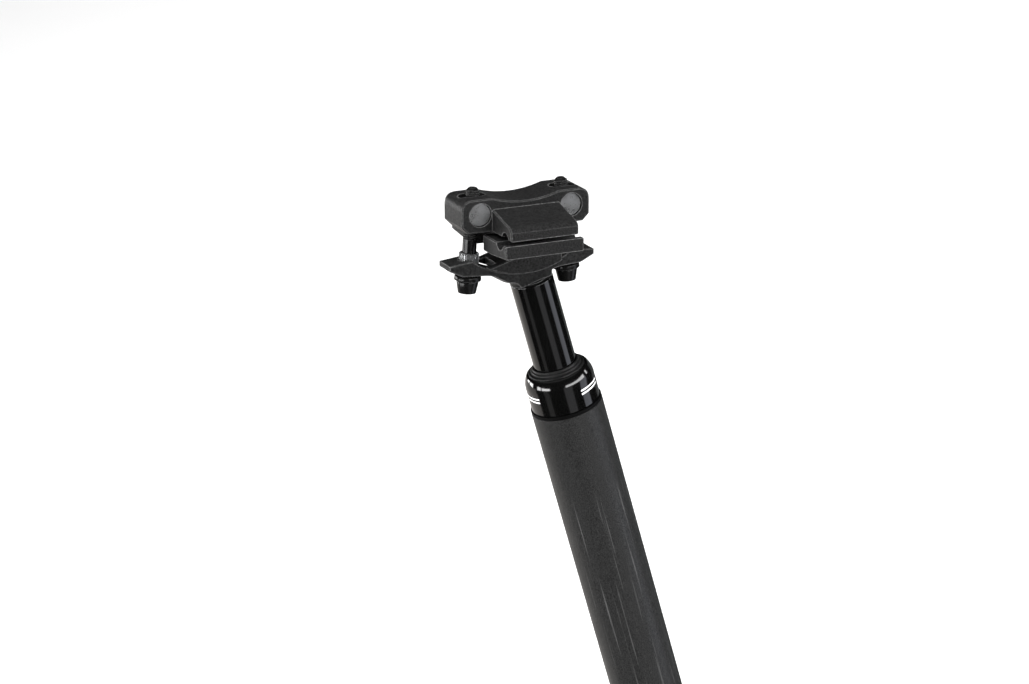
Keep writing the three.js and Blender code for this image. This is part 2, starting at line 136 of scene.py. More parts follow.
def turned(name, outline, segments=SEGMENTS, place=None):
    """Outline of (radius, height) turned about Z. A radius is a number or a function of the angle.

    An outline that starts on the axis is open; any other is closed on itself."""
    closed = callable(outline[0][0]) or outline[0][0] > 0
    points = []
    faces = []
    count = len(outline)
    for step in range(segments):
        angle = 2 * math.pi * step / segments
        following = (step + 1) % segments
        for i, (radius, height) in enumerate(outline):
            reach = radius(angle) if callable(radius) else radius
            points.append((reach * math.cos(angle), reach * math.sin(angle), height))
            j = (i + 1) % count
            if j or closed:
                faces.append(
                    (step * count + i, following * count + i, following * count + j, step * count + j)
                )
    mesh = bpy.data.meshes.new(name)
    mesh.from_pydata(points, [], faces)
    if place:
        mesh.transform(place)
    weld(mesh)
    return mesh


def weld(mesh, dissolve=False):
    """Joins doubled points, drops faces with no area, and turns every face outwards.

    It also joins flat neighbouring faces into one, if asked to dissolve."""
    work = bmesh.new()
    work.from_mesh(mesh)
    bmesh.ops.remove_doubles(work, verts=work.verts, dist=1e-6)
    bmesh.ops.dissolve_degenerate(work, edges=work.edges, dist=1e-7)
    if dissolve:
        bmesh.ops.dissolve_limit(
            work, angle_limit=math.radians(0.5), verts=work.verts, edges=work.edges
        )
    bmesh.ops.recalc_face_normals(work, faces=work.faces)
    work.to_mesh(mesh)
    work.free()


def curve_points(start, control, end, steps):
    """Points of a quadratic curve, without its first one."""
    points = []
    for step in range(1, steps + 1):
        t = step / steps
        shares = ((1 - t) ** 2, 2 * t * (1 - t), t**2)
        axes = zip(start, control, end)
        points.append(tuple(sum(map(operator.mul, shares, axis)) for axis in axes))
    return points


def hexagonal(across_flats):
    """Radius of a hexagon at each angle."""

    def radius(angle):
        sixth = math.pi / 3
        return across_flats / 2 / math.cos((angle + sixth / 2) % sixth - sixth / 2)

    return radius


def swept(name, points, radius, sides=16):
    """Round wire along a line of points, with flat ends."""
    mesh = bpy.data.meshes.new(name)
    corners = []
    faces = []
    for i, point in enumerate(points):
        ahead = points[min(i + 1, len(points) - 1)] - points[max(i - 1, 0)]
        across = Vector((point.x, point.y, 0)).normalized()
        along = ahead.normalized()
        across = (across - across.dot(along) * along).normalized()
        third = along.cross(across)
        for side in range(sides):
            angle = 2 * math.pi * side / sides
            corners.append(point + radius * (math.cos(angle) * across + math.sin(angle) * third))
        if i:
            for side in range(sides):
                after = (side + 1) % sides
                base = (i - 1) * sides
                faces.append((base + side, base + after, base + sides + after, base + sides + side))
    faces.append(tuple(range(sides)))
    faces.append(tuple(range(len(corners) - sides, len(corners))))
    mesh.from_pydata(corners, [], faces)
    weld(mesh)
    return mesh


# ---- Material helpers ---------------------------------------------------------------


def new_finish(name, metallic=0.0, roughness=0.5, colour=(0.5, 0.5, 0.5)):
    """Material with the main shader set up, and its node tree."""
    material = bpy.data.materials.new(f"{name}_finish")
    material.use_nodes = True
    tree = material.node_tree
    shader = tree.nodes["Principled BSDF"]
    shader.inputs["Metallic"].default_value = metallic
    shader.inputs["Roughness"].default_value = roughness
    shader.inputs["Base Color"].default_value = (*colour, 1)
    finishes[name] = material
    return tree, shader


def grain(tree, scale, stretch=(1, 1, 1), detail=3.0, rough=0.5):
    """Noise in the object's own space; scale is in features per metre."""
    place = tree.nodes.new("ShaderNodeTexCoord")
    mapping = tree.nodes.new("ShaderNodeMapping")
    noise = tree.nodes.new("ShaderNodeTexNoise")
    mapping.inputs["Scale"].default_value = stretch
    noise.inputs["Scale"].default_value = scale
    noise.inputs["Detail"].default_value = detail
    noise.inputs["Roughness"].default_value = rough
    tree.links.new(place.outputs["Object"], mapping.inputs["Vector"])
    tree.links.new(mapping.outputs["Vector"], noise.inputs["Vector"])
    return noise.outputs["Fac"]


def height_mask(tree, low, high):
    """Goes from 0 at one height on the object to 1 at another, and stays level past both."""
    place = tree.nodes.new("ShaderNodeTexCoord")
    split = tree.nodes.new("ShaderNodeSeparateXYZ")
    tree.links.new(place.outputs["Object"], split.inputs["Vector"])
    return remap(tree, split.outputs["Z"], low, high, 0, 1)


def rings(tree, spacing, distortion=0.6):
    """Turning marks: fine rings round the tube axis."""
    band_at_scale_one = 0.314
    place = tree.nodes.new("ShaderNodeTexCoord")
    wave = tree.nodes.new("ShaderNodeTexWave")
    wave.bands_direction = "Z"
    wave.inputs["Scale"].default_value = band_at_scale_one / spacing
    wave.inputs["Distortion"].default_value = distortion
    wave.inputs["Detail"].default_value = 2
    tree.links.new(place.outputs["Object"], wave.inputs["Vector"])
    return wave.outputs["Fac"]


def edge_wear_and_highlight(tree, width):
    """1 on sharp edges, where a rounded normal strays from the true one, and 0 on flat faces."""
    bevel = tree.nodes.new("ShaderNodeBevel")
    bevel.inputs["Radius"].default_value = width
    bevel.samples = 6
    surface = tree.nodes.new("ShaderNodeNewGeometry")
    dot = tree.nodes.new("ShaderNodeVectorMath")
    dot.operation = "DOT_PRODUCT"
    tree.links.new(bevel.outputs["Normal"], dot.inputs[0])
    tree.links.new(surface.outputs["Normal"], dot.inputs[1])
    nearly_flat = 0.99
    well_rounded = 0.9
    return remap(tree, dot.outputs["Value"], nearly_flat, well_rounded, 0, 1)


def remap(tree, value, from_low, from_high, to_low, to_high):
    """Value scaled from one span to another, and kept inside it."""
    node = tree.nodes.new("ShaderNodeMapRange")
    node.inputs["From Min"].default_value = from_low
    node.inputs["From Max"].default_value = from_high
    node.inputs["To Min"].default_value = to_low
    node.inputs["To Max"].default_value = to_high
    tree.links.new(value, node.inputs["Value"])
    return node.outputs["Result"]


def times(tree, first, second):
    """Product of two values."""
    node = tree.nodes.new("ShaderNodeMath")
    node.operation = "MULTIPLY"
    tree.links.new(first, node.inputs[0])
    tree.links.new(second, node.inputs[1])
    return node.outputs["Value"]


def mixed(tree, factor, first, second):
    """Colour between two, each a colour or another node's output."""
    node = tree.nodes.new("ShaderNodeMix")
    node.data_type = "RGBA"
    tree.links.new(factor, node.inputs["Factor"])
    # The node has a set of sockets for each kind of value; these are the ones for colours.
    for socket, colour in ((node.inputs[6], first), (node.inputs[7], second)):
        if isinstance(colour, tuple):
            socket.default_value = (*colour, 1)
        else:
            tree.links.new(colour, socket)
    return node.outputs[2]


def coated(tree, shader, colour, roughness, specular=0.5):
    """Gives the shader a colour and a roughness from other nodes, and a strength of reflection."""
    tree.links.new(colour, shader.inputs["Base Color"])
    tree.links.new(roughness, shader.inputs["Roughness"])
    shader.inputs["Specular IOR Level"].default_value = specular


def bumped(tree, shader, *layers):
    """Stacks (value, depth in metres) layers as bumps on the shader."""
    normal = None
    for value, depth in layers:
        bump = tree.nodes.new("ShaderNodeBump")
        bump.inputs["Distance"].default_value = depth
        tree.links.new(value, bump.inputs["Height"])
        if normal:
            tree.links.new(normal, bump.inputs["Normal"])
        normal = bump.outputs["Normal"]
    tree.links.new(normal, shader.inputs["Normal"])


# ---- Finishes, one for each slot ----------------------------------------------------

finishes = {}


def grey(value, tint=0.0):
    """Neutral colour, a little bluer for a positive tint."""
    return (value * (1 - tint), value, value * (1 + tint))


def matte_black():
    """Bead-blasted anodising: a fine speckle, and long scuffs where the frame grips."""
    tree, shader = new_finish("matte_black")
    speckle = grain(tree, 2600, detail=2)
    cloud = grain(tree, 45)
    scuffs = remap(tree, grain(tree, 1, (900, 900, 14), detail=4), 0.6, 0.72, 0, 0.6)
    gripped = height_mask(tree, 2 * MM, -6 * MM)
    base = mixed(tree, remap(tree, speckle, 0.35, 0.65, 0, 1), grey(0.003), grey(0.027))
    base = mixed(tree, remap(tree, cloud, 0.3, 0.7, 0, 0.3), base, grey(0.014))
    base = mixed(tree, times(tree, scuffs, gripped), base, grey(0.1))
    roughness = remap(tree, cloud, 0.3, 0.7, 0.38, 0.46)
    coated(tree, shader, base, roughness, specular=0.2)
    bumped(tree, shader, (speckle, 0.06 * MM), (grain(tree, 900), 0.03 * MM))


def gloss_black():
    """Polished black: almost a mirror, with faint wiping marks along the tube."""
    tree, shader = new_finish("gloss_black")
    smudge = grain(tree, 70, detail=4)
    wiped = grain(tree, 1, (1500, 1500, 30), detail=3)
    base = mixed(tree, smudge, grey(0.0008), grey(0.003))
    roughness = remap(tree, smudge, 0.35, 0.7, 0.06, 0.12)
    coated(tree, shader, base, roughness)
    bumped(tree, shader, (wiped, 0.0003 * MM))


def forged_black():
    """Painted forging: speckled and softly pebbled, with brighter edges: a painted highlight, patchy like edge
    wear.
    """
    tree, shader = new_finish("forged_black")
    pebble = grain(tree, 850, detail=4)
    speckle = grain(tree, 1500, detail=5, rough=0.65)
    edges = edge_wear_and_highlight(tree, 0.7 * MM)
    base = mixed(tree, remap(tree, speckle, 0.32, 0.68, 0, 1), grey(0.002), grey(0.022))
    # Painted highlight: sharp edges get a much lighter grey, broken up by the pebble.
    base = mixed(tree, times(tree, edges, remap(tree, pebble, 0.3, 0.6, 0.3, 1)), base, grey(0.15))
    roughness = remap(tree, pebble, 0.3, 0.7, 0.36, 0.5)
    coated(tree, shader, base, roughness, specular=0.08)
    bumped(tree, shader, (pebble, 0.07 * MM), (grain(tree, 3000), 0.02 * MM))


def black_steel():
    """Blackened steel with an oily sheen, a little greyer where it is rubbed."""
    tree, shader = new_finish("black_steel")
    rub = grain(tree, 220, detail=4)
    edges = edge_wear_and_highlight(tree, 0.4 * MM)
    base = mixed(tree, rub, grey(0.002), grey(0.007))
    base = mixed(tree, edges, base, grey(0.07))
    roughness = remap(tree, rub, 0.3, 0.7, 0.14, 0.24)
    coated(tree, shader, base, roughness, specular=0.15)
    bumped(tree, shader, (grain(tree, 2200), 0.006 * MM))


def bright_steel():
    """Zinc plating: clouded grey with fine pits, and painted shade down in the grooves."""
    tree, shader = new_finish("bright_steel", metallic=0.8)
    cloud = grain(tree, 300, detail=5)
    pits = remap(tree, grain(tree, 1800, detail=2), 0.62, 0.7, 0, 1)
    base = mixed(tree, cloud, grey(0.18), grey(0.26, 0.02))
    base = mixed(tree, pits, base, grey(0.1))
    # Painted shade: where pointiness finds a hollow between ridges, the colour goes dark as if the groove were in
    # shadow.
    surface = tree.nodes.new("ShaderNodeNewGeometry")
    flat = 0.5
    hollow = 0.42
    groove = remap(tree, surface.outputs["Pointiness"], flat, hollow, 0, 1)
    base = mixed(tree, groove, base, grey(0.02))
    roughness = remap(tree, cloud, 0.3, 0.7, 0.25, 0.4)
    coated(tree, shader, base, roughness)
    bumped(tree, shader, (pits, -0.02 * MM))


def spring_steel():
    """Oiled spring wire: drawing marks and a patchy film of oil."""
    tree, shader = new_finish("spring_steel", metallic=1)
    film = grain(tree, 260, detail=4)
    base = mixed(tree, film, grey(0.3, 0.04), grey(0.5))
    roughness = remap(tree, film, 0.3, 0.7, 0.2, 0.42)
    coated(tree, shader, base, roughness)
    bumped(tree, shader, (grain(tree, 3500), 0.012 * MM))


def rubber():
    """Moulded rubber: satin, with a fine skin and a trace of dust."""
    tree, shader = new_finish("rubber")
    skin = grain(tree, 2400, detail=3)
    dust = remap(tree, grain(tree, 180, detail=5), 0.5, 0.75, 0, 0.35)
    base = mixed(tree, dust, grey(0.006), grey(0.03))
    roughness = remap(tree, dust, 0, 0.35, 0.4, 0.55)
    coated(tree, shader, base, roughness, specular=0.25)
    bumped(tree, shader, (skin, 0.01 * MM))


def ring_rubber():
    """Rubber of the collar's ring: deep black, with hardly any sheen."""
    tree, shader = new_finish("ring_rubber")
    skin = grain(tree, 1600, detail=3)
    base = mixed(tree, skin, grey(0.0005), grey(0.003))
    roughness = remap(tree, skin, 0.3, 0.7, 0.5, 0.65)
    coated(tree, shader, base, roughness, specular=0.06)
    bumped(tree, shader, (skin, 0.01 * MM))


def polymer():
    """Moulded bushing plastic: off-white, faintly mottled, with grease in places."""
    tree, shader = new_finish("polymer")
    mottle = grain(tree, 320, detail=4)
    grease = remap(tree, grain(tree, 90, detail=3), 0.55, 0.7, 0, 0.5)
    base = mixed(tree, mottle, (0.6, 0.58, 0.5), (0.75, 0.73, 0.66))
    base = mixed(tree, grease, base, (0.4, 0.36, 0.25))
    roughness = remap(tree, grease, 0, 0.5, 0.5, 0.28)
    coated(tree, shader, base, roughness)
    bumped(tree, shader, (mottle, 0.03 * MM))


def urethane():
    """Cast elastomer: amber, cloudy, with tiny bubbles."""
    tree, shader = new_finish("urethane")
    cloud = grain(tree, 140, detail=4)
    bubbles = remap(tree, grain(tree, 1300, detail=1), 0.66, 0.72, 0, 1)
    base = mixed(tree, cloud, (0.5, 0.33, 0.07), (0.68, 0.5, 0.15))
    base = mixed(tree, bubbles, base, (0.8, 0.68, 0.36))
    roughness = remap(tree, cloud, 0.3, 0.7, 0.42, 0.6)
    coated(tree, shader, base, roughness)
    bumped(tree, shader, (bubbles, -0.04 * MM))


def alloy():
    """Turned aluminium: fine rings left by the tool."""
    tree, shader = new_finish("alloy", metallic=1)
    marks = rings(tree, 0.25 * MM)
    cloud = grain(tree, 200, detail=4)
    base = mixed(tree, cloud, grey(0.5), grey(0.68, 0.02))
    roughness = remap(tree, cloud, 0.3, 0.7, 0.26, 0.4)
    coated(tree, shader, base, roughness)
    bumped(tree, shader, (marks, 0.02 * MM))


def white_ink():
    """Pad-printed ink, thin and a little uneven."""
    tree, shader = new_finish("white_ink")
    thin = grain(tree, 1500, detail=3)
    base = mixed(tree, thin, grey(0.62), grey(0.85))
    roughness = remap(tree, thin, 0.3, 0.7, 0.3, 0.5)
    coated(tree, shader, base, roughness)
    bumped(tree, shader, (thin, 0.01 * MM))


for make in (
    matte_black,
    gloss_black,
    forged_black,
    black_steel,
    bright_steel,
    spring_steel,
    rubber,
    ring_rubber,
    polymer,
    urethane,
    alloy,
    white_ink,
):
    make()

for node, cad_object in frame["nodes"].items():
    cad_object.material_slots[0].material = finishes[slots[node]]

# ---- Turned pieces on the tube axis -------------------------------------------------


def bore_with_keyways(angle):
    """Bore of the outer tube, deeper at the two keyways."""
    if abs(KEYWAY_RADIUS * math.cos(angle)) < KEYWAY_HALF:
        return KEYWAY_RADIUS
    return TUBE_BORE


def outer_tube():
    """Outer tube, open at both ends, with its edges broken."""
    radius = tube_high.x
    mesh = turned(
        "outer_tube_fine",
        [
            (bore_with_keyways, tube_low.z),
            (radius - EDGE, tube_low.z),
            (radius, tube_low.z + EDGE),
            (radius, tube_high.z - EDGE),
            (radius - EDGE, tube_high.z),
            (bore_with_keyways, tube_high.z),
        ],
    )
    soften(add_piece("outer_tube_fine", mesh, "matte_black", "post_body", ["outer_tube"]), 0.12 * MM)


def lock_collar():
    """Collar with a rounded shoulder, and its spigot inside the tube, drawn without a thread."""
    radius = collar_high.x
    top = collar_high.z
    foot = ring_high.z + 0.05 * MM
    mouth = wiper_high.x + 0.2 * MM
    seat = wiper_low.z - 0.1 * MM
    shoulder = (radius, foot + 10.5 * MM)
    crown = (radius - 0.58 * MM, foot + 13.74 * MM)
    brim = (mouth + EDGE, top)
    outline = [
        (COLLAR_BORE, collar_low.z),
        (COLLAR_THREAD, collar_low.z),
        (COLLAR_THREAD, foot),
        (radius - EDGE, foot),
        (radius, foot + EDGE),
        shoulder,
    ]
    # The shoulder rounds over in two curves that meet at the crown.
    outline += curve_points(shoulder, (radius, foot + 12.2 * MM), crown, 8)
    outline += curve_points(crown, (radius - 1.53 * MM, top), brim, 10)
    outline += [(mouth, top - EDGE), (mouth, seat), (COLLAR_BORE, seat)]
    mesh = turned("lock_collar_fine", outline)
    soften(add_piece("lock_collar_fine", mesh, "gloss_black", "collar", ["lock_collar"]), 0.1 * MM)


def collar_ring():
    """Square rubber ring between the tube's rim and the collar."""
    radius = ring_high.x
    low = ring_low.z
    high = ring_high.z
    edge = 0.2 * MM
    bore = TUBE_BORE + 0.2 * MM
    outline = [
        (bore, low),
        (radius - edge, low),
        (radius, low + edge),
        (radius, high - edge),
        (radius - edge, high),
        (bore, high),
    ]
    mesh = turned("collar_ring_fine", outline)
    piece = add_piece("collar_ring_fine", mesh, "ring_rubber", "post_body", ["collar_o_ring"])
    soften(piece, 0.05 * MM)


def wiper_seal():
    """Wiper: an outer rim, a groove, a bead with a step in it, and the lip on the shaft."""
    outer = wiper_high.x
    top = wiper_high.z
    edge = collar_high.z + 0.5 * MM
    groove = collar_high.z - 0.4 * MM
    bead = groove + 0.42 * (top - groove)
    waist = outer - 1.2 * MM
    lip = WIPER_BORE + 0.9 * MM
    step = (lip + 0.3 * MM, bead + 0.7 * MM)
    outline = [
        (WIPER_BORE + 0.4 * MM, wiper_low.z),
        (outer, wiper_low.z),
        (outer, edge - 0.3 * MM),
        (outer - 0.1 * MM, edge - 0.1 * MM),
        (outer - 0.3 * MM, edge),
        (outer - 0.7 * MM, edge),
        (waist, groove),
        (waist, bead),
    ]
    outline += curve_points((waist, bead), (waist, bead + 0.6 * MM), step, 6)
    outline.append((lip, bead + 0.8 * MM))
    outline += curve_points((lip, top - 0.7 * MM), (lip, top), (WIPER_BORE + 0.3 * MM, top), 6)
    outline += [
        (WIPER_BORE, top - 0.6 * MM),
        (WIPER_BORE, top - 3 * MM),
        (WIPER_BORE + 0.4 * MM, top - 4 * MM),
    ]
    mesh = turned("wiper_seal_fine", outline)
    add_piece("wiper_seal_fine", mesh, "rubber", "seal_carrier", ["wiper_seal"], sharp=50)


def inner_tube():
    """Polished inner tube, with a broken edge under the head."""
    radius = shaft_high.x
    edge = 0.25 * MM
    mesh = turned(
        "inner_tube_fine",
        [
            (SHAFT_BORE, shaft_low.z),
            (radius, shaft_low.z),
            (radius, shaft_high.z - edge),
            (radius - edge, shaft_high.z),
            (SHAFT_BORE, shaft_high.z),
        ],
    )
    soften(add_piece("inner_tube_fine", mesh, "gloss_black", "shaft", ["inner_tube"]), 0.1 * MM)


def preload_adjuster():
    """Plug with a hexagon socket in its lower face. Rings stand in for its thread."""
    bottom = adjuster_low.z
    top = adjuster_high.z
    radius = adjuster_high.x
    pitch = ADJUSTER_PITCH
    depth = 0.6 * MM
    chamfer = 0.8 * MM
    socket = hexagonal(ADJUSTER_SOCKET)
    socket_top = bottom + 9 * MM
    mouth = hexagonal(8.6 * MM)
    outline = [
        (0, socket_top),
        (socket, socket_top),
        (socket, bottom + 0.3 * MM),
        (mouth, bottom),
        (radius - chamfer, bottom),
    ]
    threads = int((top - bottom - 2 * MM) / pitch)
    for i in range(threads):
        start = bottom + MM + i * pitch
        outline += [(radius, start + 0.2 * pitch), (radius - depth, start + 0.7 * pitch)]
    outline += [(radius, top - chamfer), (radius - chamfer, top), (0, top)]
    mesh = turned("preload_adjuster_fine", outline)
    piece = add_piece("preload_adjuster_fine", mesh, "alloy", "adjuster", ["preload_adjuster"])
    soften(piece, 0.1 * MM)


# ---- Spring, in two parts -----------------------------------------------------------


def coil_point(turn):
    """Centre of the spring wire after a number of turns from its lower end.

    The first and the last turn are closed, and rise by hardly more than the wire's thickness."""
    low = spring_low.z + WIRE_RADIUS
    high = spring_high.z - WIRE_RADIUS
    closed_rise = 2.1 * WIRE_RADIUS
    open_rise = (high - low - 2 * closed_rise) / (COIL_TURNS - 2)
    closed = min(turn, 1) + max(turn - COIL_TURNS + 1, 0)
    opened = min(max(turn - 1, 0), COIL_TURNS - 2)
    radius = spring_high.x - WIRE_RADIUS
    angle = 2 * math.pi * turn
    height = low + closed_rise * closed + open_rise * opened
    return Vector((radius * math.cos(angle), radius * math.sin(angle), height))


def coil(name, first_turn, last_turn):
    """Part of the spring between two turns, as a swept wire."""
    turns = last_turn - first_turn
    steps = turns * COIL_STEPS
    points = [coil_point(first_turn + turns * i / steps) for i in range(steps + 1)]
    return swept(name, points, WIRE_RADIUS)


def main_spring():
    """The spring as two pieces: its lower four turns, and the turns above them."""
    split = 4
    lower_mesh = coil("main_spring_lower", 0, split)
    upper_mesh = coil("main_spring_upper", split, COIL_TURNS)
    lower = add_piece("main_spring_lower", lower_mesh, "spring_steel", "post_body", ["main_spring"])
    upper = add_piece("main_spring_upper", upper_mesh, "spring_steel", "post_body")
    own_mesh(lower)
    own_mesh(upper)


# ---- Pieces of the saddle clamp -----------------------------------------------------


def along_joint(name):
    """Placement that puts Z along a joint's axis, with its point as the origin."""
    joint = joints[name]
    turn = Vector((0, 0, 1)).rotation_difference(Vector(joint["axis"]))
    return Matrix.Translation(joint["pos_m"]) @ turn.to_matrix().to_4x4()


def thread_radius(height):
    """Radius of a right-handed thread at one height, for each angle."""

    def radius(angle):
        phase = (height / THREAD_PITCH - angle / (2 * math.pi)) % 1
        crest = 1 - abs(2 * phase - 1)
        # The steeper slope, cut off at 0 and 1, leaves flats at the root and the crest.
        flank = min(max(1.5 * crest - 0.25, 0), 1)
        return THREAD_ROOT + (BOLT_RADIUS - THREAD_ROOT) * flank

    return radius


def clamp_bolt(end):
    """Socket-head bolt, head down, with a real thread on its upper end."""
    head_top = -WASHER_GAP - WASHER_THICKNESS - 0.1 * MM
    head_bottom = head_top - BOLT_HEAD
    tip = head_top + BOLT_LENGTH
    thread_start = tip - THREAD_LENGTH
    socket = hexagonal(BOLT_SOCKET)
    socket_top = head_bottom + 3.2 * MM
    outline = [
        (0, socket_top),
        (socket, socket_top),
        (socket, head_bottom + 0.25 * MM),
        (hexagonal(5.5 * MM), head_bottom),
        (BOLT_FOOT_RADIUS - 0.4 * MM, head_bottom),
        (BOLT_FOOT_RADIUS - 0.1 * MM, head_bottom + 0.1 * MM),
        (BOLT_FOOT_RADIUS, head_bottom + 0.4 * MM),
        (BOLT_HEAD_RADIUS, head_top - 0.7 * MM),
        (BOLT_HEAD_RADIUS - 0.1 * MM, head_top - 0.2 * MM),
        (BOLT_HEAD_RADIUS - 0.3 * MM, head_top),
        (BOLT_RADIUS, head_top),
        (BOLT_RADIUS, thread_start),
    ]
    full_thread = THREAD_LENGTH - MM
    rows = int(full_thread / THREAD_PITCH * THREAD_ROWS)
    for row in range(1, rows + 1):
        height = thread_start + full_thread * row / rows
        outline.append((thread_radius(height), height))
    outline += [(THREAD_ROOT, tip - 0.8 * MM), (THREAD_ROOT - 0.8 * MM, tip), (0, tip)]
    name = f"clamp_bolt_{end}_fine"
    mesh = turned(name, outline, BOLT_SEGMENTS, along_joint(f"{end}_bolt_turn"))
    add_piece(name, mesh, "black_steel", f"{end}_bolt", [f"clamp_bolt_{end}"])


def domed_washer(end):
    """Washer with a domed crown that sits in the ear's pad."""
    top = -WASHER_GAP
    bottom = top - WASHER_THICKNESS
    shoulder = WASHER_RADIUS - WASHER_TAPER
    crown = WASHER_RADIUS - 1.2 * MM
    bore = BOLT_RADIUS + 0.3 * MM
    rim = (shoulder, top - 0.8 * MM)
    outline = [
        (bore, bottom),
        (WASHER_RADIUS - 0.4 * MM, bottom),
        (WASHER_RADIUS - 0.1 * MM, bottom + 0.1 * MM),
        (WASHER_RADIUS, bottom + 0.4 * MM),
        rim,
    ]
    outline += curve_points(rim, (shoulder, top - 0.3 * MM), (crown, top), 6)
    outline.append((bore, top))
    name = f"domed_washer_{end}_fine"
    mesh = turned(name, outline, BOLT_SEGMENTS, along_joint(f"{end}_bolt_turn"))
    add_piece(name, mesh, "black_steel", f"{end}_washer", [f"domed_washer_{end}"])


def ridged(depth):
    """Radius of the knurled nut at each angle, let in by a depth."""

    def radius(angle):
        phase = (angle * NUT_RIDGES / (2 * math.pi)) % 1
        ridge = min(max(2.4 * abs(2 * phase - 1) - 0.7, 0), 1)
        return NUT_RADIUS - depth - NUT_GROOVE * (1 - ridge)

    return radius


def thumb_nut():
    """Finger nut with upright ridges and chamfered ends."""
    joint = joints["thumb_nut_turn"]
    axis = Vector(joint["axis"])
    centre = sum(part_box("knurled_thumb_nut"), Vector()) / 2
    middle = (centre - Vector(joint["pos_m"])).dot(axis)
    bottom = middle - NUT_HEIGHT / 2
    top = middle + NUT_HEIGHT / 2
    bore = BOLT_RADIUS + 0.3 * MM
    lower_chamfer = 0.15 * MM
    upper_chamfer = 0.45 * MM
    outline = [
        (bore, bottom),
        (ridged(lower_chamfer), bottom),
        (ridged(0), bottom + lower_chamfer),
        (ridged(0), top - upper_chamfer),
        (ridged(upper_chamfer), top),
        (bore, top),
    ]
    mesh = turned("thumb_nut_fine", outline, NUT_RIDGES * RIDGE_STEPS, along_joint("thumb_nut_turn"))
    add_piece("thumb_nut_fine", mesh, "bright_steel", "thumb_nut", ["knurled_thumb_nut"])


def refined(node, body):
    """Copy of a CAD node with its edges rounded and its curved faces smooth."""
    crease = 28
    mesh = frame["nodes"][node].data.copy()
    mesh.materials.clear()
    mesh.normals_split_custom_set([(0, 0, 0)] * len(mesh.loops))
    weld(mesh, dissolve=True)
    piece = add_piece(f"{node}_fine", mesh, slots[node], body, [node], sharp=crease)
    soften(piece, 0.35 * MM, segments=3, limit=crease)


# ---- Printed marks ------------------------------------------------------------------


def patch(radius, angle, height, width, depth):
    """Corners of a thin printed patch on a tube, as points and one strip of faces."""
    steps = 16
    points = []
    for i in range(steps + 1):
        turn = angle + (i / steps - 0.5) * width / radius
        for level in (height - depth / 2, height + depth / 2):
            points.append((radius * math.cos(turn), radius * math.sin(turn), level))
    faces = [(2 * i, 2 * i + 2, 2 * i + 3, 2 * i + 1) for i in range(steps)]
    return points, faces


def printed(name, patches, body):
    """One piece made of several printed patches."""
    mesh = bpy.data.meshes.new(name)
    points = []
    faces = []
    for more_points, more_faces in patches:
        base = len(points)
        points += more_points
        faces += [tuple(base + corner for corner in face) for face in more_faces]
    mesh.from_pydata(points, [], faces)
    add_piece(name, mesh, "white_ink", body)


def collar_marks():
    """Plain double dashes, spaced evenly round the collar."""
    radius = collar_high.x + INK
    middle = ring_high.z + 7.6 * MM
    length = 12 * MM
    stroke = 0.8 * MM
    first = -58
    places = 3
    patches = []
    for place in range(places):
        angle = math.radians(first + place * 360 / places)
        for height in (middle + stroke, middle - stroke):
            patches.append(patch(radius, angle, height, length, stroke))
    printed("collar_marks", patches, "collar")


def insertion_marks():
    """Ticks round the outer tube at the least depth that it may be inserted, every third one long."""
    radius = tube_high.x + INK
    height = tube_low.z + 100 * MM
    stroke = 0.5 * MM
    short = 5 * MM
    long = 8 * MM
    ticks = 36
    patches = []
    for i in range(ticks):
        tall = short if i % 3 else long
        patches.append(patch(radius, 2 * math.pi * i / ticks, height, stroke, tall))
    printed("insertion_marks", patches, "post_body")


outer_tube()
lock_collar()
collar_ring()
wiper_seal()
inner_tube()
preload_adjuster()
main_spring()
for end in ("rear", "front"):
    clamp_bolt(end)
    domed_washer(end)
thumb_nut()
refined("head_forging", "shaft")
refined("lower_cradle", "cradle")
refined("upper_clamp", "clamp")
collar_marks()
insertion_marks()

# ---- Floor, light and camera --------------------------------------------------------


def pale_floor():
    """Wide pale sheet under the post."""
    mesh = bpy.data.meshes.new("floor")
    reach = 12
    corners = [(-reach, -reach), (reach, -reach), (reach, reach), (-reach, reach)]
    mesh.from_pydata([(x, y, tube_low.z - 0.2 * MM) for x, y in corners], [], [(0, 1, 2, 3)])
    floor = bpy.data.objects.new("floor", mesh)
    bpy.context.scene.collection.objects.link(floor)
    tree, shader = new_finish("floor_sheet", roughness=0.9, colour=(0.93, 0.93, 0.93))
    shader.inputs["Specular IOR Level"].default_value = 0.1
    bumped(tree, shader, (grain(tree, 60), 0.2 * MM))
    mesh.materials.append(finishes["floor_sheet"])
    floor.visible_glossy = False


def by_azimuth(tree, azimuth, panels):
    """Bright soft-edged panels on black, each from one azimuth to another with a colour."""
    soft = 1.5
    gap = (0, 0, 0, 1)
    node = tree.nodes.new("ShaderNodeValToRGB")
    ramp = node.color_ramp
    ramp.elements[0].color = gap
    ramp.elements[1].color = gap
    for low, high, colour in panels:
        shade = (*colour, 1)
        stops = ((low - soft, gap), (low + soft, shade), (high - soft, shade), (high + soft, gap))
        for turn, stop in stops:
            ramp.elements.new(turn / 360 + 0.5).color = stop
    tree.links.new(azimuth, node.inputs["Fac"])
    return node.outputs["Color"]


def strong(tree, colour, strength):
    """Colour times a strength, which may take it past 1."""
    node = tree.nodes.new("ShaderNodeVectorMath")
    node.operation = "SCALE"
    node.inputs["Scale"].default_value = strength
    tree.links.new(colour, node.inputs[0])
    return node.outputs["Vector"]


